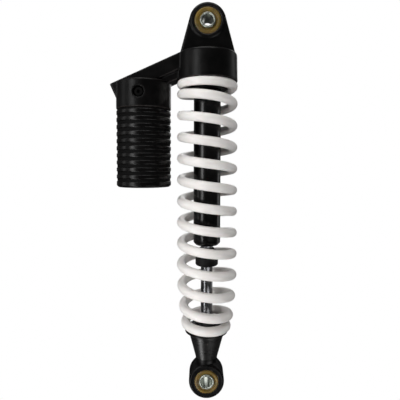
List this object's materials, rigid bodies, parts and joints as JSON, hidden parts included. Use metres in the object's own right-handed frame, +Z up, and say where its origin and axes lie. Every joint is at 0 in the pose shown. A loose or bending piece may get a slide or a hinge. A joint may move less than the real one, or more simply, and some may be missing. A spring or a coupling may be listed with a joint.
{
  "type": "rear shock",
  "caption": "Coil-over rear shock with a side reservoir: two sleeved eyes, white spring, sliding chromed rod.",
  "frame": {"origin": "centre of the top eye's bore, on the damper axis", "axes": "+Z up along the damper axis, +Y along the eye bores, reservoir towards -X"},
  "size_m": [0.1158, 0.056, 0.363],
  "materials": {
    "black_casting": "satin black paint on a cast part",
    "black_anodised": "black, machined ribs",
    "black_tube": "gloss black",
    "white_spring": "satin powder coat",
    "chrome_rod": "hard chrome, polished",
    "zinc_steel": "zinc plated",
    "plain_steel": "plain",
    "seat_steel": "satin black",
    "urethane": "amber cast urethane",
    "black_rubber": "matt",
    "bare_aluminium": "machined",
    "bronze": "machined",
    "band_plastic": "filled PTFE"
  },
  "bodies": {
    "barrel": {"head_casting": "black_casting", "top_bush": "urethane", "damper_tube": "black_tube", "tube_o_ring": "black_rubber", "rod_guide": "bronze", "guide_o_ring": "black_rubber", "oil_seal": "black_rubber", "gland_nut": "plain_steel", "dust_wiper": "black_rubber", "topout_bumper": "black_rubber", "coil_spring": "white_spring", "reservoir_body": "black_anodised", "reservoir_o_ring": "black_rubber", "reservoir_end_cap": "black_anodised", "end_cap_o_ring": "black_rubber", "reservoir_circlip": "plain_steel", "gas_valve": "bronze", "valve_cap": "black_rubber", "passage_plug": "plain_steel", "bleed_screw": "plain_steel"},
    "top_pivot": {"top_sleeve": "zinc_steel"},
    "slider": {"piston_band": "band_plastic", "lower_spring_seat": "seat_steel"},
    "rod": {"piston": "bare_aluminium", "compression_shims": "plain_steel", "rebound_shims": "plain_steel", "piston_nut": "plain_steel", "piston_rod": "chrome_rod", "lock_nut": "plain_steel", "lower_mount": "black_casting", "lower_bush": "urethane"},
    "bottom_pivot": {"lower_sleeve": "zinc_steel"},
    "stop": {"bump_stop": "black_rubber"},
    "gas_piston": {"floating_piston": "bare_aluminium", "floating_piston_ring": "black_rubber"}
  },
  "joints": [
    {"name": "rod_slide", "type": "slide", "parent": "barrel", "child": "slider", "axis": [0, 0, 1], "range_m": [0, 0.049], "stiffness_N_per_m": 43700, "springref_m": -0.005, "deforming": ["coil_spring"]},
    {"name": "rod_swivel", "type": "hinge", "parent": "slider", "child": "rod", "pos_m": [0, 0, -0.2855], "axis": [0, 0, 1], "continuous": true},
    {"name": "top_sleeve_turn", "type": "hinge", "parent": "barrel", "child": "top_pivot", "pos_m": [0, 0, 0], "axis": [0, 1, 0], "continuous": true},
    {"name": "lower_sleeve_turn", "type": "hinge", "parent": "rod", "child": "bottom_pivot", "pos_m": [0, 0, -0.33], "axis": [0, 1, 0], "continuous": true},
    {"name": "bump_stop_slide", "type": "slide", "parent": "slider", "child": "stop", "axis": [0, 0, -1], "range_m": [0, 0.049]},
    {"name": "floating_piston_slide", "type": "slide", "parent": "barrel", "child": "gas_piston", "axis": [0, 0, -1], "range_m": [0, 0.006]}
  ],
  "couplings": [
    {"joint": "bump_stop_slide", "follows": "rod_slide", "ratio": 1},
    {"joint": "floating_piston_slide", "follows": "rod_slide", "ratio": 0.08839}
  ]
}
